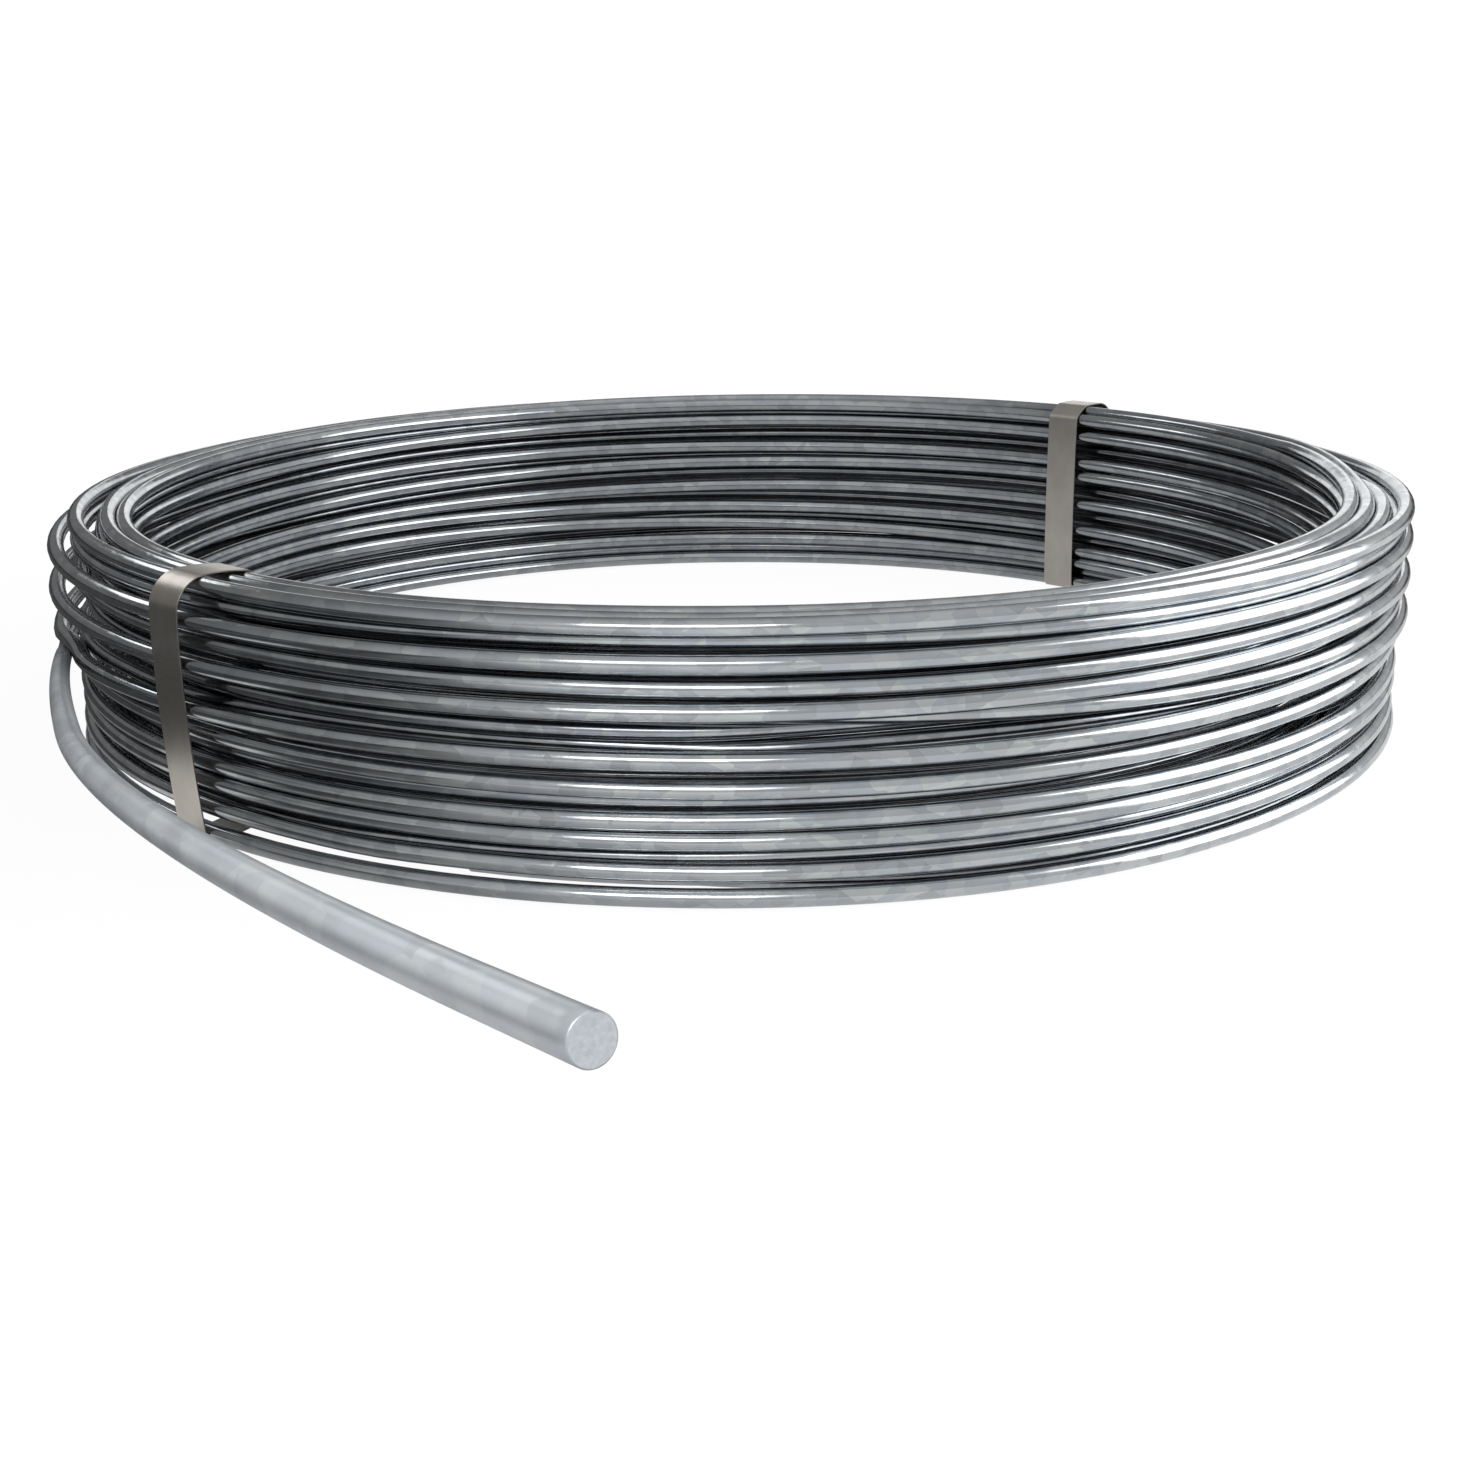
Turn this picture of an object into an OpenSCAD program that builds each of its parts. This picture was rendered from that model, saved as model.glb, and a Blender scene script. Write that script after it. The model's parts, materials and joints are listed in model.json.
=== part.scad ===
// Coil of galvanised round conductor, bound by two flat steel straps, with one free end.
// All sizes are in millimetres. Z is the axis of the coil, and it lies on the floor at z = 0.

/* [Conductor] */
// Diameter of the round conductor
wire_d = 10; // [6:0.5:16]

/* [Coil] */
// Diameter of the bore, between the crests of the inner turns
bore_d = 789; // [400:1:1200]
// Depth of the flat that the winding core leaves on each inner crest
crest_flat = 0.2; // [0.1:0.05:0.5]
// Height over the lowest and the highest turn
coil_h = 145.3; // [80:0.1:300]
// Turns above one another on the inner side
inner_rows = 9; // [4:1:14]
// Turns above one another on the outer side
outer_rows = 14; // [8:1:20]
// Turns side by side on each end
layers = 4; // [2:1:8]
// Distance between turns that lie side by side
layer_pitch = 10.1; // [10:0.1:16]
// How far the packed middle lies behind the centres of the turns around it
core_inset = 2; // [0:0.5:3]

/* [Loose outer turns] */
// Valleys between the outer rows that the loose turns lie in, counted from the bottom
loose_valleys = [7, 9, 11]; // [6:1:12]
// How far a loose turn is pressed into its valley
loose_seat = 0.45; // [0.3:0.05:0.8]

/* [Free end] */
// Valley between the outer rows that the last turn lies in
last_valley = 5; // [1:1:6]
// Angle at which the last turn comes out from under the rear strap
last_turn_from = 50; // [49:0.5:120]
// Angle at which the free end leaves the coil
leave_angle = 195.7; // [150:0.1:215]
// How far the free end has sprung off the turns where it leaves
spring_off = 0.8; // [0.6:0.1:2]
// Radius of the short bend that lifts the free end
rise_r = 200; // [100:10:600]
// Slope of the free end after that bend
rise_angle = 9.2; // [0:0.1:20]
// Lean of the plane in which the free end curves
curve_lean = 1.6; // [0:0.1:10]
// Radius of the nearly straight part of the free end
first_r = 5150; // [1000:50:9000]
// Angle that this part turns through
first_angle = 5.7; // [1:0.1:20]
// Radius of the part before the tip
second_r = 2460; // [800:20:6000]
// Angle that the part before the tip turns through
second_angle = 10.8; // [1:0.1:30]
// Straight length at the tip
tip_length = 40; // [20:5:200]

/* [Straps] */
// Width of a strap
strap_w = 27; // [10:1:60]
// Thickness of a strap
strap_t = 0.8; // [0.4:0.1:2]
// Clearance between a strap and the turns that it holds
strap_gap = 0.3; // [0.1:0.05:1]
// Angle of the front strap around the coil
front_strap_angle = 226.8; // [200:0.1:300]
// Angle of the rear strap around the coil
rear_strap_angle = 47; // [0:1:47]

/* [Hidden] */
$fn = 64;
wire_r = wire_d / 2;
bore_r = bore_d / 2;
low_z = wire_r + strap_gap + strap_t;
high_z = low_z + coil_h - wire_d;
inner_r = bore_r - crest_flat + wire_r;
outer_r = inner_r + (layers - 1) * layer_pitch;
inner_pitch = (high_z - low_z) / (inner_rows - 1);
outer_pitch = (high_z - low_z) / (outer_rows - 1);
loose_r = outer_r + sqrt(wire_d * wire_d - outer_pitch * outer_pitch / 4) - loose_seat;
strap_bend_r = wire_r + strap_gap;
strap_sag = bore_r - sqrt(bore_r * bore_r - strap_w * strap_w / 4);
bend_step = 7.5;
joint_swell = 0.05;

// Height of the valley above an outer row
function valley_z(row) = low_z + (row + 0.5) * outer_pitch;

// Centres of the turns that a strap bends around, inner bottom first
strap_corners = [
    [inner_r - strap_sag, low_z],
    [outer_r, low_z],
    [loose_r, valley_z(min(loose_valleys))],
    [loose_r, valley_z(max(loose_valleys))],
    [outer_r, high_z],
    [inner_r - strap_sag, high_z]
];

// Legs of a strap, from corner to corner, and the way each of them runs
function corner(i) = strap_corners[(i + len(strap_corners)) % len(strap_corners)];
function heading(i) = atan2(corner(i + 1)[1] - corner(i)[1], corner(i + 1)[0] - corner(i)[0]);
function bend_at(i) = (heading(i) - heading(i - 1) + 720) % 360;
function bend_steps(i) = ceil(bend_at(i) / bend_step);
function bend_point(i, step, radius) =
    let (angle = heading(i - 1) - 90 + bend_at(i) * step / bend_steps(i))
    corner(i) + radius * [cos(angle), sin(angle)];

// Closed outline of a strap's inner or outer face
function strap_outline(radius) = [
    for (i = [0 : len(strap_corners) - 1])
        for (step = [0 : bend_steps(i)])
            bend_point(i, step, radius)
];

// Sub-part to show

// One turn of the wire in the section through the coil
module turn_section(radius, height) {
    translate([radius, height])
        circle(d = wire_d);
}

// Half of the section through the coil: packed middle, inner, outer and end turns, loose turns
module coil_section() {
    difference() {
        union() {
            translate([inner_r + core_inset, low_z + core_inset])
                square([outer_r - inner_r - 2 * core_inset, high_z - low_z - 2 * core_inset]);
            for (row = [0 : inner_rows - 1])
                turn_section(inner_r, low_z + row * inner_pitch);
            for (row = [0 : outer_rows - 1])
                turn_section(outer_r, low_z + row * outer_pitch);
            for (layer = [1 : layers - 2])
                for (height = [low_z, high_z])
                    turn_section(inner_r + layer * layer_pitch, height);
            for (row = loose_valleys)
                turn_section(loose_r, valley_z(row));
        }
        translate([bore_r - wire_d, 0])
            square([wire_d, high_z + wire_d]);
    }
}

// A bend of the wire that turns left, with the rest of the wire at its end
module bend(radius, angle) {
    translate([-radius, 0, 0]) {
        rotate_extrude(angle = angle)
            turn_section(radius, 0);
        rotate(angle)
            translate([radius, 0, 0]) {
                sphere(r = wire_r + joint_swell);
                children();
            }
    }
}

// A straight length of the wire
module straight(length) {
    rotate([-90, 0, 0])
        cylinder(d = wire_d, h = length);
}

// The last turn, which lies in a valley of the outer rows and springs off as the free end
module last_turn() {
    rotate(last_turn_from)
        rotate_extrude(angle = leave_angle - last_turn_from)
            turn_section(loose_r, valley_z(last_valley));
    rotate(leave_angle) {
        translate([loose_r + spring_off / 2, 0, valley_z(last_valley)])
            sphere(r = wire_r + spring_off / 2 + 2 * joint_swell);
        translate([loose_r + spring_off, 0, valley_z(last_valley)])
            rotate([0, 90, 0])
                bend(rise_r, rise_angle)
                    rotate([0, curve_lean - 90, 0])
                        bend(first_r, first_angle)
                            bend(second_r, second_angle)
                                straight(tip_length);
    }
}

module conductor() {
    color("silver") {
        rotate_extrude()
            coil_section();
        last_turn();
    }
}

// A strap that closes around the section of the coil
module strap(angle) {
    color("tan")
        rotate(angle)
            rotate([90, 0, 0])
                translate([0, 0, -strap_w / 2])
                    linear_extrude(strap_w)
                        difference() {
                            polygon(strap_outline(strap_bend_r + strap_t));
                            polygon(strap_outline(strap_bend_r));
                        }
}

module strap_front() {
    strap(front_strap_angle);
}

module strap_rear() {
    strap(rear_strap_angle);
}

conductor();
strap_front();
strap_rear();
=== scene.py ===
import json
import math

import bpy
import numpy as np
from mathutils import Matrix, Vector


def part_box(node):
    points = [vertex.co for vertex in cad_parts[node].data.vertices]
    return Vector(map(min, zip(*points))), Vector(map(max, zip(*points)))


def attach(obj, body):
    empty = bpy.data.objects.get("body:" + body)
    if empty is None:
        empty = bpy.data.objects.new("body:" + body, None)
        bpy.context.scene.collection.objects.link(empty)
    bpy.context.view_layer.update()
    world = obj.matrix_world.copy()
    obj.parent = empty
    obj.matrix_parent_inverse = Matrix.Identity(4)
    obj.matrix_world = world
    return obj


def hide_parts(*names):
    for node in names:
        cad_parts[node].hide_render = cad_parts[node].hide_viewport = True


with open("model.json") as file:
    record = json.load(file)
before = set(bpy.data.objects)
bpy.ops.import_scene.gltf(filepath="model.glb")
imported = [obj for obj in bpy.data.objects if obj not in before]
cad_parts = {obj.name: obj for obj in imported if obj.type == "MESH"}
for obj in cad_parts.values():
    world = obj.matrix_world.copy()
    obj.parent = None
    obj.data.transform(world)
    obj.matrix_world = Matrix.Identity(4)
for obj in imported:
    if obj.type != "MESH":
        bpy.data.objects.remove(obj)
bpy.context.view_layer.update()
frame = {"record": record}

# The coil is worked out in millimetres in the frame's axes, and made in metres.
MM = 0.001
mounts = {mount["name"]: mount for mount in frame["record"]["mounts"]}
colours = {slot["slot"]: slot["base_color"] for slot in frame["record"]["materials"]}

# Sizes that the frame gives, and the flat that the winding core leaves on the inner crests
WIRE_R = mounts["conductor_end"]["dims"]["r_mm"]
BORE_R = mounts["bore"]["dims"]["r_mm"]
BASE_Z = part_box("conductor")[0][2] / MM
CREST_FLAT = 0.2
INNER_R = BORE_R + WIRE_R - CREST_FLAT

# Winding: the wire runs anticlockwise, from the inner end at the bottom to the free outer end
STEPS_PER_TURN = 150
STEP_DEG = 360 / STEPS_PER_TURN
INNER_END_DEG = -46 * STEP_DEG
SMOOTH_DEG = 7
HIGHEST_Z = 144

# Small rises and falls of the turns, which stop short of the place where the free end leaves
rng = np.random.default_rng(7)
WANDER_DEG = 16
WANDER_HEIGHT = 2.2
STEADY_DEG = 90

# Settling: turns that would cut into each other are moved apart in small steps, hidden turns more
# than those that show, and the last stretch before the free end not at all
CLEARANCE = 0.04
SETTLE_PASSES = 160
SETTLE_SHARE = 0.6
HIDDEN_MOBILITY = 1.0
SHOWN_MOBILITY = 0.25
HELD_DEG = 20
FAR_AWAY = 1e4

# Inner turns from the bottom up: radius, then heights over the coil's underside. The first five
# angles are at the rear, where the photo shows the bore; at the front they lie behind the gaps.
INNER_ANGLES = (12, 50, 90, 120, 150, 230, 270, 310)
INNER_TURNS = (
    (INNER_R, (5.0, 5.0, 5.4, 7.5, 9.5, 10, 10.5, 11)),
    (INNER_R + 5.2, (13.3, 13.3, 13.5, 15.5, 17.5, 18, 19, 21)),
    (INNER_R, (20.5, 20.5, 21.8, 24.8, 26.5, 29, 29, 31.8)),
    (INNER_R, (32.0, 30.6, 37.3, 43.4, 47.7, 37.5, 40, 40.8)),
    (INNER_R, (48.0, 48.0, 51.5, 55.0, 59.2, 53, 58.5, 53)),
    (INNER_R, (71.0, 70.3, 70.3, 70.0, 69.5, 66, 72, 67)),
    (INNER_R, (92.5, 92.2, 90.2, 88.5, 86.3, 91, 97.4, 92)),
    (INNER_R, (103.5, 104.0, 104.0, 104.0, 103.5, 106, 111, 106)),
    (INNER_R, (125.2, 125.4, 125.4, 124.6, 122.2, 121, 126, 122)),
    (INNER_R, (139.0, 139.2, 139.4, 139.5, 139.5, 139.6, 139.7, 139.8)),
)

# Middle turns from the top down, mostly hidden: (angle, radius, height) of each
MIDDLE_TURNS = (
    ((60, 406, 140.2), (120, 409.4, 140.3), (330, 409.4, 140.3)),
    ((60, 416, 140.3), (150, 419, 140), (200, 411, 130), (260, 411, 129), (310, 419, 134), (345, 418, 138)),
    ((20, 412, 135), (50, 409, 132), (110, 407, 132), (150, 408, 131), (215, 411, 119), (270, 411, 118.5),
     (320, 410, 115)),
    ((12, 412, 113), (60, 412, 113), (130, 412, 112), (160, 412, 107.5), (192, 418.5, 110.5),
     (225, 420.5, 115.5), (262, 421, 117), (285, 422, 118.6), (330, 422, 117.5)),
    ((12, 413, 88.5), (28, 413, 88.5), (50, 412, 96), (130, 412, 95), (150, 412.5, 92), (168, 413, 85.5),
     (200, 414, 84.5), (225, 423, 92), (285, 421, 91), (330, 417, 85)),
    ((12, 411, 76.5), (30, 411.5, 78.5), (50, 412, 81), (120, 412, 78.5), (150, 414, 75), (185, 428, 75.5),
     (204, 428.5, 76), (222, 426, 82), (242, 420, 83.5), (290, 420, 82.5), (330, 413, 68),
     (345, 412.5, 57.5), (358, 412, 57.5)),
    ((12, 412, 58.5), (50, 412, 58.5), (90, 412, 60), (150, 411, 63.5), (168, 412.5, 54), (198, 417, 51.5),
     (225, 423, 53.5), (290, 423, 53.5), (312, 420, 60), (329, 420, 46.5), (337, 418.5, 41),
     (350, 416, 42)),
    ((12, 409.4, 39), (50, 409.4, 39), (90, 409.4, 42), (118, 409.4, 37.5), (150, 409.4, 37.5),
     (190, 413, 36.5), (208, 415, 36), (226, 411, 26), (245, 411, 20), (265, 413, 11), (285, 420.5, 6.5),
     (330, 421, 6)),
)

# Outer turns from the bottom up, as the photo shows them at the front
OUTER_TURNS = (
    ((60, 421, 6), (160, 429, 5.2), (215, 431, 5.2), (300, 432, 5.1), (330, 431.5, 5.6)),
    ((215, 428, 20), (232, 429.5, 20.6), (250, 429.5, 19.6), (268, 429.6, 18.2), (330, 429.8, 18.5)),
    ((215, 420, 18), (240, 420, 20), (265, 421, 23), (300, 422, 24.5), (330, 423, 25)),
    ((80, 426, 26.6), (130, 427, 27.8), (160, 428, 29), (215, 429, 34.2), (270, 429.8, 34.8),
     (330, 429.8, 34.4)),
    ((135, 429, 43), (215, 429, 44.4), (270, 429.8, 44.8), (330, 429.8, 44.2)),
    ((135, 429, 53.5), (215, 429, 60.5), (270, 429.8, 61.9), (330, 429.8, 61.5)),
    ((50, 427, 82), (215, 421, 97), (265, 421, 98), (285, 426, 94.2), (300, 429.8, 89.8),
     (320, 429.8, 85.6), (335, 429.8, 84.5)),
    ((50, 429, 104.5), (215, 428, 112), (250, 429.5, 112.8), (300, 429.8, 111.5), (330, 430, 110.5)),
    ((50, 427, 126.5), (190, 428, 130.5), (214, 426, 131), (240, 420.5, 131.5), (262, 423, 134),
     (276, 426, 135.5), (290, 428.5, 134.3), (335, 430, 132.5)),
)

# Loose turns from the top down; at the rear they cross over the turns below them
LOOSE_TURNS = (
    ((195, 428.6, 141), (225, 424.5, 140.9), (252, 428.5, 142.3), (276, 431, 142.6), (300, 431, 142),
     (325, 431, 139.5)),
    ((90, 440, 134), (196, 442, 127), (225, 436, 125.5), (245, 433.5, 124.8), (325, 433, 124.9)),
    ((90, 440, 114), (197, 443.6, 101.8), (225, 437, 101.3), (245, 434, 100.8), (325, 433.5, 101.3)),
    ((90, 440, 90), (197, 443.4, 74), (225, 436.5, 76.6), (245, 434.5, 76.5), (330, 434, 76.4)),
    ((90, 440, 68), (130, 439, 64), (152, 438.7, 62.3), (210, 438.7, 62.3)),
)

# Free end: where it leaves, then bends as (radius, length, roll), a roll of 90 bending up
FREE_ANGLE = 172.43
FREE_R = 438.7
FREE_Z = 62.3
FREE_BENDS = ((462, 183.6, 0), (200, 33.9, 90), (350, 12.7, 0), (9780, 462.7, -2.4), (2117, 491.7, -2.4))
TIP_LENGTH = 40
FREE_STEP = 5
END_CHAMFER = 0.35

# Angle around the coil up to which the free end is still close to the turns
FREE_NEAR_DEG = 232

# Winding angles at which the middle and the outer turns begin, and at which the free end leaves
FIRST_MIDDLE_DEG = 360 * len(INNER_TURNS)
FIRST_OUTER_DEG = FIRST_MIDDLE_DEG + 360 * len(MIDDLE_TURNS)
LEAVE_DEG = FIRST_OUTER_DEG + 360 * (len(OUTER_TURNS) + len(LOOSE_TURNS) - 1) + FREE_ANGLE

# Sides of the wire on the coil and on the free end, which comes close to the camera
COIL_SIDES = 16
FREE_SIDES = 3 * COIL_SIDES

# Ways, in degrees from straight out, in which a point of the skin looks for other turns
LOOK_TILTS = range(-75, 76, 15)

# Painted shade on the turns that lie hidden in the winding, below the two middle turns on its top
TOP_TURNS = 2
HIDDEN_SHARE = 0.55

# Painted shade on the sides that face the bore
BORE_SHADE = 0.7

# Length of the free end over which its painted shade goes over from the coil's to its own
FREE_SHADE_BLEND = 250

# Angles around the free end, from its outer side, between which its painted shade grows until it
# is as dark as the deepest painted shade between the turns
UNSHADED_SIDE_DEG = 74
DARK_SIDE_DEG = 102

# Lengths of the free end between which it turns duller and gets a painted lift, a paleness in place of the
# light it catches
LIFT_AND_DULL_FROM = 180
LIFT_AND_DULL_TO = 360

# Straps: section, clearance, points around the coil's section, and how softly they bend
STRAP_W = 27
STRAP_T = 0.8
STRAP_GAP = 0.25
STRAP_EDGE = 0.2
STRAP_POINTS = 240
STRAP_STIFFNESS_DEG = 1.5
STRAP_REACH_POINTS = 30
STRAP_BEND_R = 19
CRISP_DEG = 30

# Textures: features per metre along the wire or strap, and in the two directions across it
CRYSTALS_PER_M = (95, 130, 130)
STAINS_PER_M = (22, 60, 60)
GRAINS_PER_M = (900, 1500, 1500)
CUT_GRAINS_PER_M = (700, 1100, 1100)
STRAP_LINES_PER_M = (6, 1400, 600)
STRAP_STAINS_PER_M = (40, 70, 70)

# Greys of the metals: place on the ramp, share of the record's colour, and tint
NO_TINT = (1, 1, 1)
CRYSTAL_GREYS = (
    (0.0, 0.86, NO_TINT), (0.35, 0.96, (0.97, 1, 1.04)), (0.7, 1.04, NO_TINT), (1.0, 1.12, (1, 1.02, 0.99)),
)
CUT_GREYS = ((0.3, 1.18, (0.95, 1, 1.06)), (0.7, 1.45, (1, 1, 1.04)))
STRAP_GREYS = ((0.3, 1.25, NO_TINT), (0.7, 1.45, NO_TINT))

# What darkens or lightens those greys: place on the ramp, and the colour that they are multiplied by
STAIN_STOPS = ((0.3, (0.84, 0.85, 0.87)), (0.65, (1, 1, 1)))
# Painted shade: the greys darken where the skin lies deep between turns
PAINTED_SHADE_STOPS = (
    (0.02, (0.48, 0.48, 0.49)), (0.2, (0.7, 0.7, 0.715)), (0.45, (0.95, 0.95, 0.955)), (0.65, (1, 1, 1)),
)
# Painted lift: the free end is made paler in place of the light it catches
PAINTED_LIFT_STOPS = ((0.0, (1, 1, 1)), (1.0, (1.3, 1.32, 1.35)))
# Slit edges: dark oxide, and painted shade that keeps their chamfers from catching light
SLIT_EDGE_OXIDE_AND_SHADE_STOPS = ((0, (1, 1, 1)), (1, (0.35, 0.34, 0.33)))

# Duller free end, its paleness a painted lift: how far its crystals fade, its share of metal, and its extra
# roughness
BLOOM_MELLOW = 0.45
BLOOM_METALLIC = 0.35
BLOOM_ROUGHNESS = 0.22

# Roughness, between its lowest and highest values, and relief, as strength and depth in metres
ZINC_ROUGHNESS = (0.1, 0.21)
STRAP_ROUGHNESS = (0.26, 0.4)
CUT_ROUGHNESS = 0.5
CUT_METALLIC = 0.25
ZINC_RELIEF = (0.05, 0.0002)
CUT_RELIEF = (0.2, 0.0003)
STRAP_RELIEF = (0.08, 0.0002)

# Light of the room around the coil, which is bright in front on the right, and darker on the left,
# most of all towards the horizon; matt surfaces get a share of what the metal shows. Each fade is
# the span over which it goes, and the values at its two ends.
BRIGHT_SIDE = (0.7, -0.7, 0)
ROOM_FADE = ((-0.85, 0.25), (0.17, 0.62))
HORIZON_FADE = ((-0.4, 0.4), (0.1, 0.9))
RISE_FADE = ((0.0, 0.1), (0.0, 1.0))
MATT_SHARE = 0.9

# Floor, in metres: it is nearly white to the camera around the coil, and white further out
FLOOR_HALF = 12
FLOOR_GREY = (0.1, 0.1, 0.1, 1)
WHITE_FADE = ((0.8, 1.8), (0.94, 1.0))

# What the metal shows of the floor: inside the coil, on the bright side, and in the pale patch beside
# the foot of the front strap
INSIDE_FADE = ((0.4, 0.5), (0.43, 0.02))
BRIGHT_FADE = ((0.05, 0.42), (0.02, 0.75))
PATCH = (-0.365, -0.3, 0)
PATCH_FADE = ((0.035, 0.095), (0.62, 0.02))

# Places on the coil, in front of it and near the tip of the free end, in metres, that the lamps face
COIL_AIM = (0, 0, 0.07)
FRONT_AIM = (-0.05, -0.7, 0)
FREE_AIM = (-0.1, -1.0, 0.2)

# Lamps: the place faced, azimuth, elevation and distance from it, width, height, brightness, and spread
LAMPS = {
    "key": (FRONT_AIM, 255.4, 45.7, 0.874, 0.62, 0.42, 0.58, 56),
    "right": (COIL_AIM, -9, 21, 1.47, 1.4, 1.2, 2.4, 180),
    "rear_left": (COIL_AIM, 150, 32, 1.7, 0.7, 0.35, 2.2, 180),
    "backdrop": (COIL_AIM, 85, 10, 3.0, 2.9, 0.9, 0.9, 180),
    "free_end_card": (FREE_AIM, 150, 10, 0.65, 0.5, 0.4, 0.11, 70),
}

# The photo's camera, solved from the coil's own circles: angles in degrees, and its place in metres
CAMERA_PITCH = 16.6045
CAMERA_YAW = 0.1918
CAMERA_ROLL = 0.7329
CAMERA_PLACE = (0, -1.36746, 0.37043 + BASE_Z * MM)
SENSOR_MM = 36
LENS_MM = 49.906
CLIP_START = 0.01


def stations():
    """(winding angle, radius, height) of every place at which a turn's position is known."""
    rows = []
    for turn, (radius, heights) in enumerate(INNER_TURNS):
        for angle, height in zip(INNER_ANGLES, heights):
            rows.append((360 * turn + angle, radius, height))
    others = MIDDLE_TURNS + OUTER_TURNS + LOOSE_TURNS
    for turn, places in enumerate(others, len(INNER_TURNS)):
        for angle, radius, height in places:
            rows.append((360 * turn + angle, radius, height))
    return np.array(rows, float)


def smooth(values, degrees):
    """Values along the wire, averaged over about that many degrees to either side."""
    reach = int(3 * degrees / STEP_DEG)
    weights = np.exp(-0.5 * (np.arange(-reach, reach + 1) * STEP_DEG / degrees) ** 2)
    padded = np.pad(values, reach, mode="edge")
    return np.convolve(padded, weights / weights.sum(), mode="valid")


def free_path():
    """Points of the free end, in millimetres, from the coil to the cut."""
    place = Vector((FREE_R, 0, FREE_Z + BASE_Z))
    facing = Matrix.Rotation(math.radians(FREE_ANGLE), 3, "Z")
    place.rotate(facing)
    points = [place.copy()]
    for radius, length, roll in FREE_BENDS:
        bending = facing @ Matrix.Rotation(math.radians(roll), 3, "Y")
        for along in np.linspace(0, length, max(3, round(length / FREE_STEP)))[1:]:
            turned = along / radius
            step = Vector((radius * (math.cos(turned) - 1), radius * math.sin(turned), 0))
            points.append(place + bending @ step)
        place = points[-1]
        bending = bending @ Matrix.Rotation(length / radius, 3, "Z")
        facing = bending @ Matrix.Rotation(math.radians(-roll), 3, "Y")
    for along in np.linspace(0, TIP_LENGTH, round(TIP_LENGTH / FREE_STEP) + 1)[1:]:
        points.append(place + facing @ Vector((0, along, 0)))
    return np.array([tuple(point) for point in points])


def free_end_slots(points):
    """(radius, height) of the free end at each of the coil's angle steps, far away where it has left."""
    slots = np.full((STEPS_PER_TURN, 2), FAR_AWAY)
    angle = np.degrees(np.arctan2(points[:, 1], points[:, 0])) % 360
    near = (angle >= FREE_ANGLE - 1) & (angle < FREE_NEAR_DEG)
    order = np.argsort(angle[near])
    known = angle[near][order]
    radius = np.hypot(points[near, 0], points[near, 1])[order]
    height = points[near, 2][order]
    for slot in range(STEPS_PER_TURN):
        at = (INNER_END_DEG + slot * STEP_DEG) % 360
        if FREE_ANGLE < at < FREE_NEAR_DEG:
            slots[slot] = (np.interp(at, known, radius), np.interp(at, known, height))
    return slots


def settle(radius, height, mobility, free_end):
    """Moves turns that would cut into each other apart, slice by slice around the coil. Slices that
    lack the last turn get a place far away instead, and a turn counts as far away from itself."""
    count = len(radius)
    turns = -(-count // STEPS_PER_TURN)
    whole = turns * STEPS_PER_TURN
    gap = 2 * WIRE_R + CLEARANCE
    move = np.pad(mobility, (0, whole - count)).reshape(turns, STEPS_PER_TURN).T
    move = np.concatenate([move, np.zeros((STEPS_PER_TURN, 1))], axis=1)
    share = move[:, :, None] / np.maximum(move[:, :, None] + move[:, None, :], 1e-6)
    for _ in range(SETTLE_PASSES):
        places = np.full((whole, 2), 10 * FAR_AWAY)
        places[:count] = np.stack([radius, height], 1)
        places = places.reshape(turns, STEPS_PER_TURN, 2).transpose(1, 0, 2)
        places = np.concatenate([places, free_end[:, None, :]], axis=1)
        apart = places[:, :, None, :] - places[:, None, :, :]
        distance = np.hypot(apart[..., 0], apart[..., 1]) + FAR_AWAY * np.eye(turns + 1)
        push = np.maximum(gap - distance, 0) * share / np.maximum(distance, 0.1)
        shift = SETTLE_SHARE * (push[..., None] * apart).sum(axis=2)[:, :turns]
        shift = shift.transpose(1, 0, 2).reshape(whole, 2)[:count]
        radius = np.maximum(radius + smooth(shift[:, 0], STEP_DEG), INNER_R)
        height = height + smooth(shift[:, 1], STEP_DEG)
        height = np.clip(height, BASE_Z + WIRE_R, BASE_Z + HIGHEST_Z)
    return radius, height


def coil_path(free_points):
    """Angle, radius and height of the wound wire, from its inner end to where the free end leaves."""
    rows = stations()
    angle = np.arange(INNER_END_DEG, rows[-1, 0], STEP_DEG)
    radius = smooth(np.interp(angle, rows[:, 0], rows[:, 1]), SMOOTH_DEG)
    height = smooth(np.interp(angle, rows[:, 0], rows[:, 2]), SMOOTH_DEG) + BASE_Z
    wander = smooth(rng.normal(size=len(angle)), WANDER_DEG)
    height = height + np.where(angle < LEAVE_DEG - STEADY_DEG, WANDER_HEIGHT * wander, 0)
    hidden = (angle > FIRST_MIDDLE_DEG) & (angle < FIRST_OUTER_DEG)
    mobility = smooth(np.where(hidden, HIDDEN_MOBILITY, SHOWN_MOBILITY), SMOOTH_DEG)
    mobility = np.where(angle > LEAVE_DEG - HELD_DEG, 0, mobility)
    kept = angle < LEAVE_DEG - 0.5 * STEP_DEG
    radius, height = settle(radius[kept], height[kept], mobility[kept], free_end_slots(free_points))
    return angle[kept], radius, height


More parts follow.
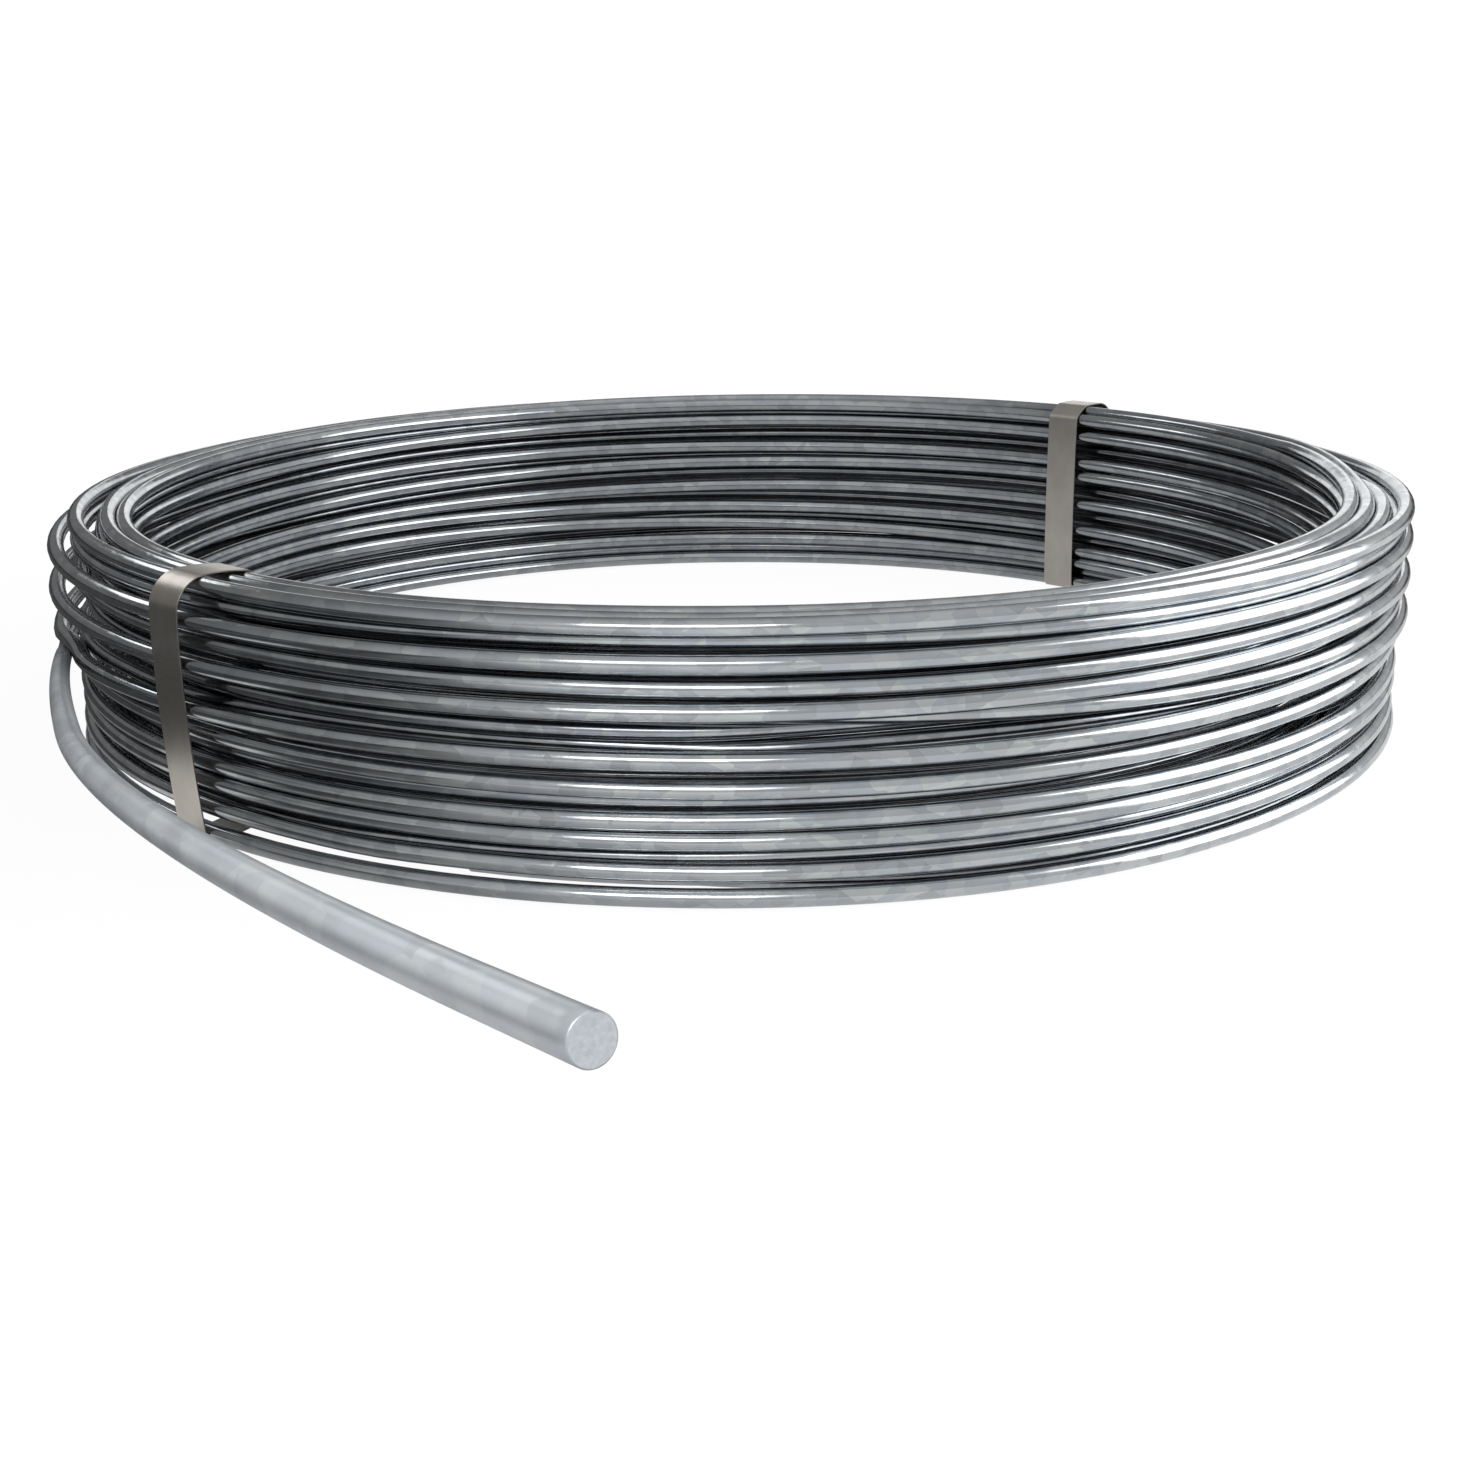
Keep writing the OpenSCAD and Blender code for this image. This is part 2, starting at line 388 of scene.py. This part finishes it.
def skin_openness(radius, height):
    """How open each point of the wound wire's skin lies, from 0 deep between turns to 1 outside."""
    around = np.linspace(0, 2 * math.pi, COIL_SIDES, endpoint=False)
    tilt = np.radians(LOOK_TILTS)
    skin = np.stack([np.cos(around), np.sin(around)], 1)
    looks = np.stack([np.cos(around[:, None] + tilt), np.sin(around[:, None] + tilt)], -1)
    weights = np.cos(tilt) / np.cos(tilt).sum()
    openness = np.ones((len(radius), COIL_SIDES))
    for slot in range(STEPS_PER_TURN):
        centres = np.stack([radius[slot::STEPS_PER_TURN], height[slot::STEPS_PER_TURN]], 1)
        starts = centres[:, None, :] + WIRE_R * skin
        apart = centres[None, None, :, :] - starts[:, :, None, :]
        ahead = np.einsum("isjk,sdk->isdj", apart, looks)
        beside = (apart ** 2).sum(axis=-1)[:, :, None, :] - ahead ** 2
        blocked = ((ahead > 0) & (beside < WIRE_R ** 2)).any(axis=-1)
        openness[slot::STEPS_PER_TURN] = (~blocked * weights).sum(axis=-1)
    return np.stack([smooth(column, STEP_DEG) for column in openness.T], 1)


def coil_openness(angle, radius, height, around):
    """How open the wound wire's skin lies, which sets its painted shade, with more painted shade on hidden
    turns and on the side of the bore.
    """
    # Painted shade: hidden turns are darkened
    hidden = (angle > FIRST_MIDDLE_DEG + 360 * TOP_TURNS) & (angle < FIRST_OUTER_DEG)
    # Painted shade on the sides that face the bore
    openness = skin_openness(radius, height) * (1 - BORE_SHADE * np.maximum(-np.cos(around), 0))
    return openness * smooth(np.where(hidden, HIDDEN_SHARE, 1.0), SMOOTH_DEG)[:, None]


def free_openness(run, around, coil_end):
    """How open the free end's skin counts for its painted shade: as the end of the coil at first, then with
    a painted dark side.
    """
    clear = np.minimum(run / FREE_SHADE_BLEND, 1)[:, None]
    from_outside = np.degrees(np.minimum(around, 2 * math.pi - around))
    # Painted shade: the side turned away from the outer side is darkened
    side_open = np.clip((DARK_SIDE_DEG - from_outside) / (DARK_SIDE_DEG - UNSHADED_SIDE_DEG), 0, 1)
    start_open = np.repeat(coil_end, FREE_SIDES // COIL_SIDES)
    return (1 - clear) * start_open[None, :] + clear * side_open[None, :]


def ring_points(centres, sides, radius):
    """Circles of points around each centre, square to the path, and their directions."""
    ahead = np.gradient(centres, axis=0)
    ahead /= np.linalg.norm(ahead, axis=1, keepdims=True)
    out = np.cross(ahead, (0, 0, 1))
    out /= np.linalg.norm(out, axis=1, keepdims=True)
    up = np.cross(out, ahead)
    around = np.linspace(0, 2 * math.pi, sides, endpoint=False)
    turned = np.cos(around)[:, None] * out[:, None, :] + np.sin(around)[:, None] * up[:, None, :]
    return centres[:, None, :] + np.asarray(radius).reshape(-1, 1, 1) * turned, around


def tube_faces(first, rings, sides):
    """Quads between neighbouring rings of one tube."""
    faces = []
    for ring in range(rings - 1):
        low = first + ring * sides
        for side in range(sides):
            after = (side + 1) % sides
            faces.append((low + side, low + after, low + sides + after, low + sides + side))
    return faces


def joint_faces(coarse, fine, sides):
    """Faces from a ring of the coil to the free end's first ring, which has three times its sides."""
    faces = []
    for side in range(sides):
        after = (side + 1) % sides
        thirds = [fine + (3 * side + k) % (3 * sides) for k in range(4)]
        faces.append((coarse + side, thirds[1], thirds[0]))
        faces.append((coarse + side, coarse + after, thirds[2], thirds[1]))
        faces.append((coarse + after, thirds[3], thirds[2]))
    return faces


def make_mesh(name, points, faces, along, attribute):
    """A smooth mesh object from points in millimetres, with texture places in the same units."""
    mesh = bpy.data.meshes.new(name)
    mesh.from_pydata((np.asarray(points) * MM).tolist(), [], faces)
    layer = mesh.attributes.new(attribute, "FLOAT_VECTOR", "POINT")
    layer.data.foreach_set("vector", (np.asarray(along) * MM).astype(np.float32).ravel())
    mesh.polygons.foreach_set("use_smooth", [True] * len(mesh.polygons))
    mesh.update()
    piece = bpy.data.objects.new(name, mesh)
    bpy.context.collection.objects.link(piece)
    return piece


def add_values(piece, name, values):
    """A number on every point of a piece, for its material to read."""
    layer = piece.data.attributes.new(name, "FLOAT", "POINT")
    layer.data.foreach_set("value", np.asarray(values, np.float32))


def wire_places(length, around, radius):
    """Texture places on the wire: along its length, and across its section."""
    places = np.zeros((len(length), len(around), 3))
    places[..., 0] = np.asarray(length)[:, None]
    places[..., 1] = np.cos(around)[None, :] * np.asarray(radius).reshape(-1, 1)
    places[..., 2] = np.sin(around)[None, :] * np.asarray(radius).reshape(-1, 1)
    return places.reshape(-1, 3)


def make_conductor(angle, radius, height, free_points):
    """The whole wire as one closed skin: wound part, free end and both cut ends."""
    turned = np.radians(angle)
    coil = np.stack([radius * np.cos(turned), radius * np.sin(turned), height], 1)
    whole = np.concatenate([coil, free_points])
    length = np.concatenate([[0], np.cumsum(np.linalg.norm(np.diff(whole, axis=0), axis=1))])
    tip = whole[-1] - whole[-2]
    tip /= np.linalg.norm(tip)
    free = np.concatenate([free_points[:-1], [free_points[-1] - END_CHAMFER * tip], free_points[-1:]])
    free_length = np.append(length[len(coil):], length[-1] + END_CHAMFER)
    free_radius = np.full(len(free), WIRE_R)
    free_radius[-1] = WIRE_R - END_CHAMFER
    coil_rings, coil_around = ring_points(np.concatenate([coil, free_points[:1]]), COIL_SIDES, WIRE_R)
    coil_rings = coil_rings[:-1]
    free_rings, free_around = ring_points(free, FREE_SIDES, free_radius)
    points = np.concatenate([coil_rings.reshape(-1, 3), free_rings.reshape(-1, 3)])
    along = np.concatenate([
        wire_places(length[: len(coil)], coil_around, WIRE_R),
        wire_places(free_length, free_around, free_radius),
    ])
    coil_count = len(coil) * COIL_SIDES
    faces = tube_faces(0, len(coil), COIL_SIDES)
    faces += joint_faces(coil_count - COIL_SIDES, coil_count, COIL_SIDES)
    faces += tube_faces(coil_count, len(free), FREE_SIDES)
    faces.append(tuple(reversed(range(COIL_SIDES))))
    faces.append(tuple(range(len(points) - FREE_SIDES, len(points))))
    piece = make_mesh("conductor_wire", points, faces, along, "along_wire")
    coil_open = coil_openness(angle, radius, height, coil_around)
    free_run = free_length - free_length[0]
    free_open = free_openness(free_run, free_around, coil_open[-1])
    add_values(piece, "openness", np.concatenate([coil_open.ravel(), free_open.ravel()]))
    # Painted lift and dullness of the free end: paler in place of the light it catches, and duller
    bloom = np.clip((free_run - LIFT_AND_DULL_FROM) / (LIFT_AND_DULL_TO - LIFT_AND_DULL_FROM), 0, 1)
    add_values(piece, "bloom", np.concatenate([np.zeros(coil_count), np.repeat(bloom, FREE_SIDES)]))
    piece.data.materials.append(zinc_material())
    piece.data.materials.append(cut_material())
    for face in list(piece.data.polygons)[-2:]:
        face.material_index = 1
        face.use_smooth = False
    return piece


def strap_outline(angle_deg, angle, radius, height):
    """Closed outline, in (radius, height), that a strap takes around the turns under it."""
    half_deg = math.degrees(math.atan(0.5 * STRAP_W / INNER_R)) + STEP_DEG
    offset = (angle - angle_deg + 180) % 360 - 180
    under = np.abs(offset) < half_deg
    centres = np.stack([radius[under] * np.cos(np.radians(offset[under])), height[under]], 1)
    normal = np.linspace(0, 2 * math.pi, STRAP_POINTS, endpoint=False)
    facing = np.stack([np.cos(normal), np.sin(normal)], 1)
    lowest = centres.min(axis=0)
    highest = centres.max(axis=0)
    middle = (lowest + highest) / 2
    bend_r = STRAP_BEND_R - WIRE_R
    top = highest[1] - bend_r
    bends = np.array(((lowest[0] + bend_r, top), (highest[0] - bend_r, top)))
    reach = ((centres - middle) @ facing.T).max(axis=0)
    reach = np.maximum(reach, ((bends - middle) @ facing.T).max(axis=0) + bend_r)
    spread = np.arange(-STRAP_REACH_POINTS, STRAP_REACH_POINTS + 1) * 360 / STRAP_POINTS
    weights = np.exp(-0.5 * (spread / STRAP_STIFFNESS_DEG) ** 2)
    padded = np.pad(reach, STRAP_REACH_POINTS, mode="wrap")
    rounded = np.convolve(padded, weights / weights.sum(), mode="valid")
    rounded += (reach - rounded).max() + WIRE_R + STRAP_GAP
    slope = (np.roll(rounded, -1) - np.roll(rounded, 1)) / (4 * math.pi / STRAP_POINTS)
    beside = np.stack([-facing[:, 1], facing[:, 0]], 1)
    outline = middle + rounded[:, None] * facing + slope[:, None] * beside
    outline[:, 1] = np.maximum(outline[:, 1], STRAP_T)
    return outline, facing


def make_strap(node, angle, radius, height):
    """A flat steel strap around the coil, where the frame has it."""
    low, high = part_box(node)
    middle = (Vector(low) + Vector(high)) / 2
    angle_deg = math.degrees(math.atan2(middle.y, middle.x))
    outline, facing = strap_outline(angle_deg, angle, radius, height)
    length = np.cumsum(np.linalg.norm(outline - np.roll(outline, 1, axis=0), axis=1))
    half = STRAP_W / 2
    section = (
        (-half, STRAP_EDGE), (-half + STRAP_EDGE, 0), (half - STRAP_EDGE, 0), (half, STRAP_EDGE),
        (half, STRAP_T - STRAP_EDGE), (half - STRAP_EDGE, STRAP_T),
        (-half + STRAP_EDGE, STRAP_T), (-half, STRAP_T - STRAP_EDGE),
    )
    outward = np.array((math.cos(math.radians(angle_deg)), math.sin(math.radians(angle_deg)), 0))
    sideways = np.array((-outward[1], outward[0], 0))
    points = []
    along = []
    for place, normal, run in zip(outline, facing, length):
        for across, depth in section:
            at = place + depth * normal
            points.append(at[0] * outward + at[1] * np.array((0, 0, 1)) + across * sideways)
            along.append((run, across, depth))
    sides = len(section)
    faces = []
    for ring in range(STRAP_POINTS):
        after_ring = (ring + 1) % STRAP_POINTS
        for side in range(sides):
            after = (side + 1) % sides
            faces.append((
                ring * sides + side, ring * sides + after,
                after_ring * sides + after, after_ring * sides + side,
            ))
    piece = make_mesh(node + "_band", points, faces, along, "along_strap")
    edge_split = piece.modifiers.new("crisp_edges", "EDGE_SPLIT")
    edge_split.split_angle = math.radians(CRISP_DEG)
    piece.data.materials.append(strap_material())
    return piece


def new_material(name):
    """A node material, with its nodes, its links and its shader."""
    material = bpy.data.materials.new(name)
    material.use_nodes = True
    nodes = material.node_tree.nodes
    return material, nodes, material.node_tree.links, nodes["Principled BSDF"]


def add_node(nodes, kind, **settings):
    """A node with its inputs and properties set by name."""
    node = nodes.new(kind)
    for key, value in settings.items():
        if key in node.inputs:
            node.inputs[key].default_value = value
        else:
            setattr(node, key, value)
    return node


def place_node(nodes, links, attribute, per_metre):
    """Texture places from a mesh attribute, with so many features per metre along each axis."""
    source = add_node(nodes, "ShaderNodeAttribute", attribute_name=attribute)
    mapping = nodes.new("ShaderNodeMapping")
    mapping.inputs["Scale"].default_value = per_metre
    links.new(source.outputs["Vector"], mapping.inputs["Vector"])
    return mapping.outputs["Vector"]


def noise_node(nodes, links, attribute, per_metre, detail):
    """Cloudy noise at the places of a mesh attribute."""
    noise = add_node(nodes, "ShaderNodeTexNoise", Scale=1.0, Detail=detail)
    links.new(place_node(nodes, links, attribute, per_metre), noise.inputs["Vector"])
    return noise.outputs["Fac"]


def value_node(nodes, attribute):
    """The number that a mesh attribute holds."""
    source = add_node(nodes, "ShaderNodeAttribute", attribute_name=attribute)
    return source.outputs["Fac"]


def ramp_node(nodes, links, factor, stops):
    """A colour ramp over a factor, from (position, colour) stops."""
    ramp = nodes.new("ShaderNodeValToRGB")
    elements = ramp.color_ramp.elements
    while len(elements) < len(stops):
        elements.new(0.5)
    for element, (position, colour) in zip(elements, stops):
        element.position = position
        element.color = (*colour, 1)
    links.new(factor, ramp.inputs["Fac"])
    return ramp.outputs["Color"]


def range_node(nodes, links, factor, low, high):
    """A factor from 0 to 1 spread between two values."""
    spread = nodes.new("ShaderNodeMapRange")
    spread.inputs["To Min"].default_value = low
    spread.inputs["To Max"].default_value = high
    links.new(factor, spread.inputs["Value"])
    return spread.outputs["Result"]


def fade_node(nodes, links, value, span, ends):
    """A value that goes from one end to the other over a span of another."""
    fade = nodes.new("ShaderNodeMapRange")
    fade.interpolation_type = "SMOOTHSTEP"
    fade.inputs["From Min"].default_value, fade.inputs["From Max"].default_value = span
    fade.inputs["To Min"].default_value, fade.inputs["To Max"].default_value = ends
    links.new(value, fade.inputs["Value"])
    return fade.outputs["Result"]


def math_node(nodes, links, operation, *values):
    """One step of arithmetic on values that are numbers or come from other nodes."""
    step = add_node(nodes, "ShaderNodeMath", operation=operation)
    for socket, value in zip(step.inputs, values):
        if isinstance(value, float):
            socket.default_value = value
        else:
            links.new(value, socket)
    return step.outputs["Value"]


def vector_node(nodes, links, operation, vector, other=(0, 0, 0)):
    """A number from a vector, or from a vector and another that is fixed."""
    step = add_node(nodes, "ShaderNodeVectorMath", operation=operation)
    links.new(vector, step.inputs[0])
    step.inputs[1].default_value = other
    return step.outputs["Value"]


def bump_node(nodes, links, height, strength, distance):
    """Fine relief from a height."""
    bump = nodes.new("ShaderNodeBump")
    bump.inputs["Strength"].default_value = strength
    bump.inputs["Distance"].default_value = distance
    links.new(height, bump.inputs["Height"])
    return bump.outputs["Normal"]


def multiply_node(nodes, links, first, second):
    """Two colours multiplied."""
    mixed = add_node(nodes, "ShaderNodeMix", data_type="RGBA", blend_type="MULTIPLY")
    mixed.inputs["Factor"].default_value = 1.0
    links.new(first, mixed.inputs["A"])
    links.new(second, mixed.inputs["B"])
    return mixed.outputs["Result"]


def shades(colour, greys):
    """Ramp stops of a colour made lighter or darker and tinted."""
    stops = []
    for position, factor, tint in greys:
        shade = tuple(min(1.0, channel * share * factor) for channel, share in zip(colour, tint))
        stops.append((position, shade))
    return stops


def zinc_material():
    """Hot-dip galvanised wire: metal with patches of zinc crystal in slightly different greys, painted
    shade between the turns, and duller along the free end, which no turn has rubbed, with a painted
    lift that makes the free end paler in place of the light it catches."""
    material, nodes, links, shader = new_material("galvanised_wire")
    zinc = colours["zinc"]
    crystals = add_node(nodes, "ShaderNodeTexVoronoi", Scale=1.0, Randomness=1.0)
    links.new(place_node(nodes, links, "along_wire", CRYSTALS_PER_M), crystals.inputs["Vector"])
    tint = nodes.new("ShaderNodeSeparateColor")
    links.new(crystals.outputs["Color"], tint.inputs["Color"])
    cloud = noise_node(nodes, links, "along_wire", STAINS_PER_M, 4.0)
    grain = noise_node(nodes, links, "along_wire", GRAINS_PER_M, 3.0)
    bloom = value_node(nodes, "bloom")
    greys = ramp_node(nodes, links, tint.outputs["Red"], shades(zinc, CRYSTAL_GREYS))
    stain = ramp_node(nodes, links, cloud, STAIN_STOPS)
    # Painted shade between the turns, on hidden turns, on the bore side and on one side of the free end
    painted_shade = ramp_node(nodes, links, value_node(nodes, "openness"), PAINTED_SHADE_STOPS)
    # Painted lift that makes the free end paler, in place of the light it catches
    painted_lift = ramp_node(nodes, links, bloom, PAINTED_LIFT_STOPS)
    mellow = add_node(nodes, "ShaderNodeMix", data_type="RGBA")
    links.new(range_node(nodes, links, bloom, 0.0, BLOOM_MELLOW), mellow.inputs["Factor"])
    links.new(greys, mellow.inputs["A"])
    mellow.inputs["B"].default_value = (*zinc, 1)
    spangled = multiply_node(nodes, links, mellow.outputs["Result"], stain)
    with_painted_shade = multiply_node(nodes, links, spangled, painted_shade)
    links.new(multiply_node(nodes, links, with_painted_shade, painted_lift), shader.inputs["Base Color"])
    links.new(range_node(nodes, links, bloom, 1.0, BLOOM_METALLIC), shader.inputs["Metallic"])
    gloss = range_node(nodes, links, tint.outputs["Green"], *ZINC_ROUGHNESS)
    dullness = math_node(nodes, links, "MULTIPLY_ADD", bloom, BLOOM_ROUGHNESS, gloss)
    links.new(dullness, shader.inputs["Roughness"])
    links.new(bump_node(nodes, links, grain, *ZINC_RELIEF), shader.inputs["Normal"])
    return material


def cut_material():
    """The sheared end of the wire: pale, granular metal."""
    material, nodes, links, shader = new_material("cut_end")
    shader.inputs["Metallic"].default_value = CUT_METALLIC
    shader.inputs["Roughness"].default_value = CUT_ROUGHNESS
    grain = noise_node(nodes, links, "along_wire", CUT_GRAINS_PER_M, 5.0)
    greys = ramp_node(nodes, links, grain, shades(colours["zinc"], CUT_GREYS))
    links.new(greys, shader.inputs["Base Color"])
    links.new(bump_node(nodes, links, grain, *CUT_RELIEF), shader.inputs["Normal"])
    return material


def strap_material():
    """Rolled steel strip: satin, with fine lines along its length, and slit edges darkened by oxide and by
    painted shade that keeps their chamfers from catching light.
    """
    material, nodes, links, shader = new_material("strap_steel")
    shader.inputs["Metallic"].default_value = 1.0
    lines = noise_node(nodes, links, "along_strap", STRAP_LINES_PER_M, 4.0)
    cloud = noise_node(nodes, links, "along_strap", STRAP_STAINS_PER_M, 3.0)
    tone = ramp_node(nodes, links, cloud, shades(colours["strap"], STRAP_GREYS))
    strip = add_node(nodes, "ShaderNodeAttribute", attribute_name="along_strap")
    across = vector_node(nodes, links, "DOT_PRODUCT", strip.outputs["Vector"], (0, 1, 0))
    from_middle = math_node(nodes, links, "ABSOLUTE", across)
    edge_span = ((STRAP_W / 2 - 1.5 * STRAP_EDGE) * MM, (STRAP_W / 2 - 0.5 * STRAP_EDGE) * MM)
    slit_edge = fade_node(nodes, links, from_middle, edge_span, (0, 1))
    # Slit edges darkened: oxide, and painted shade that keeps the chamfers from catching light
    edge_oxide_and_shade = ramp_node(nodes, links, slit_edge, SLIT_EDGE_OXIDE_AND_SHADE_STOPS)
    links.new(multiply_node(nodes, links, tone, edge_oxide_and_shade), shader.inputs["Base Color"])
    links.new(range_node(nodes, links, lines, *STRAP_ROUGHNESS), shader.inputs["Roughness"])
    links.new(bump_node(nodes, links, lines, *STRAP_RELIEF), shader.inputs["Normal"])
    return material


def seen_strength(nodes, links, to_camera, to_gloss):
    """Strength of the background for the camera, and for reflections and glass."""
    path = nodes.new("ShaderNodeLightPath")
    reflected = path.outputs["Is Glossy Ray"]
    either = math_node(nodes, links, "MAXIMUM", reflected, path.outputs["Is Transmission Ray"])
    gloss = math_node(nodes, links, "MULTIPLY", either, to_gloss)
    return math_node(nodes, links, "MULTIPLY_ADD", path.outputs["Is Camera Ray"], to_camera, gloss)


def make_floor():
    """A pale floor that the camera sees as white paper, with the object's soft shadow on it."""
    mesh = bpy.data.meshes.new("floor")
    half = FLOOR_HALF
    corners = ((-half, -half, 0), (half, -half, 0), (half, half, 0), (-half, half, 0))
    mesh.from_pydata(corners, [], [(0, 1, 2, 3)])
    floor = bpy.data.objects.new("floor", mesh)
    bpy.context.collection.objects.link(floor)
    material = bpy.data.materials.new("white_paper")
    material.use_nodes = True
    nodes = material.node_tree.nodes
    links = material.node_tree.links
    nodes.clear()
    paper = add_node(nodes, "ShaderNodeBsdfDiffuse", Color=FLOOR_GREY)
    glow = nodes.new("ShaderNodeEmission")
    place = nodes.new("ShaderNodeNewGeometry").outputs["Position"]
    from_axis = vector_node(nodes, links, "LENGTH", place)
    white = fade_node(nodes, links, from_axis, *WHITE_FADE)
    inside = fade_node(nodes, links, from_axis, *INSIDE_FADE)
    towards = vector_node(nodes, links, "DOT_PRODUCT", place, BRIGHT_SIDE)
    bright = fade_node(nodes, links, towards, *BRIGHT_FADE)
    from_patch = vector_node(nodes, links, "DISTANCE", place, PATCH)
    patch = fade_node(nodes, links, from_patch, *PATCH_FADE)
    pale = math_node(nodes, links, "MAXIMUM", math_node(nodes, links, "MAXIMUM", inside, bright), patch)
    links.new(seen_strength(nodes, links, white, pale), glow.inputs["Strength"])
    both = nodes.new("ShaderNodeAddShader")
    links.new(paper.outputs["BSDF"], both.inputs[0])
    links.new(glow.outputs["Emission"], both.inputs[1])
    output = nodes.new("ShaderNodeOutputMaterial")
    links.new(both.outputs["Shader"], output.inputs["Surface"])
    mesh.materials.append(material)


def make_world():
    """A dim grey room; the camera sees white."""
    world = bpy.data.worlds.new("studio")
    bpy.context.scene.world = world
    world.use_nodes = True
    nodes = world.node_tree.nodes
    links = world.node_tree.links
    background = nodes["Background"]
    background.inputs["Color"].default_value = (1, 1, 1, 1)
    direction = nodes.new("ShaderNodeTexCoord").outputs["Generated"]
    towards = vector_node(nodes, links, "DOT_PRODUCT", direction, BRIGHT_SIDE)
    side = fade_node(nodes, links, towards, *ROOM_FADE)
    horizon = fade_node(nodes, links, towards, *HORIZON_FADE)
    height = vector_node(nodes, links, "DOT_PRODUCT", direction, (0, 0, 1))
    level = fade_node(nodes, links, height, *RISE_FADE)
    room = math_node(nodes, links, "MULTIPLY", side, math_node(nodes, links, "MAXIMUM", horizon, level))
    matt = math_node(nodes, links, "MULTIPLY", room, MATT_SHARE)
    seen = seen_strength(nodes, links, 1.0, room)
    links.new(math_node(nodes, links, "MAXIMUM", seen, matt), background.inputs["Strength"])


def softbox(name, aim, azimuth, elevation, distance, width, height, radiance, spread_deg):
    """A soft lamp that faces an aim, by its place around it, its size, its brightness and its spread."""
    data = bpy.data.lights.new(name, "AREA")
    data.shape = "RECTANGLE"
    data.size = width
    data.size_y = height
    data.energy = radiance * math.pi * width * height
    data.spread = math.radians(spread_deg)
    lamp = bpy.data.objects.new(name, data)
    level = math.cos(math.radians(elevation))
    towards = Vector((
        level * math.cos(math.radians(azimuth)),
        level * math.sin(math.radians(azimuth)),
        math.sin(math.radians(elevation)),
    ))
    lamp.location = Vector(aim) + towards * distance
    lamp.rotation_euler = towards.to_track_quat("Z", "Y").to_euler()
    lamp.visible_camera = False
    bpy.context.collection.objects.link(lamp)


def make_camera():
    """The photo's camera, turned by its yaw, its pitch and its roll."""
    pitch = math.radians(CAMERA_PITCH)
    yaw = math.radians(CAMERA_YAW)
    roll = math.radians(CAMERA_ROLL)
    right = Vector((math.cos(yaw), math.sin(yaw), 0))
    ahead = Vector((-math.sin(yaw), math.cos(yaw), 0))
    upright = Vector((0, 0, 1))
    view = ahead * math.cos(pitch) - upright * math.sin(pitch)
    top = ahead * math.sin(pitch) + upright * math.cos(pitch)
    across = right * math.cos(roll) - top * math.sin(roll)
    along = right * math.sin(roll) + top * math.cos(roll)
    data = bpy.data.cameras.new("photo_camera")
    data.sensor_width = SENSOR_MM
    data.lens = LENS_MM
    data.clip_start = CLIP_START
    camera = bpy.data.objects.new("photo_camera", data)
    turned = Matrix((across, along, -view)).transposed().to_4x4()
    camera.matrix_world = Matrix.Translation(CAMERA_PLACE) @ turned
    bpy.context.collection.objects.link(camera)
    bpy.context.scene.camera = camera


free_points = free_path()
wind_angle, wind_radius, wind_height = coil_path(free_points)
conductor = make_conductor(wind_angle, wind_radius, wind_height, free_points)
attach(conductor, "root")
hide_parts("conductor")
for strap_node in ("strap_front", "strap_rear"):
    strap = make_strap(strap_node, wind_angle, wind_radius, wind_height)
    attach(strap, "root")
    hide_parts(strap_node)

make_camera()
make_floor()
make_world()
for lamp_name, lamp_settings in LAMPS.items():
    softbox(lamp_name, *lamp_settings)
bpy.context.scene.view_settings.view_transform = "Standard"
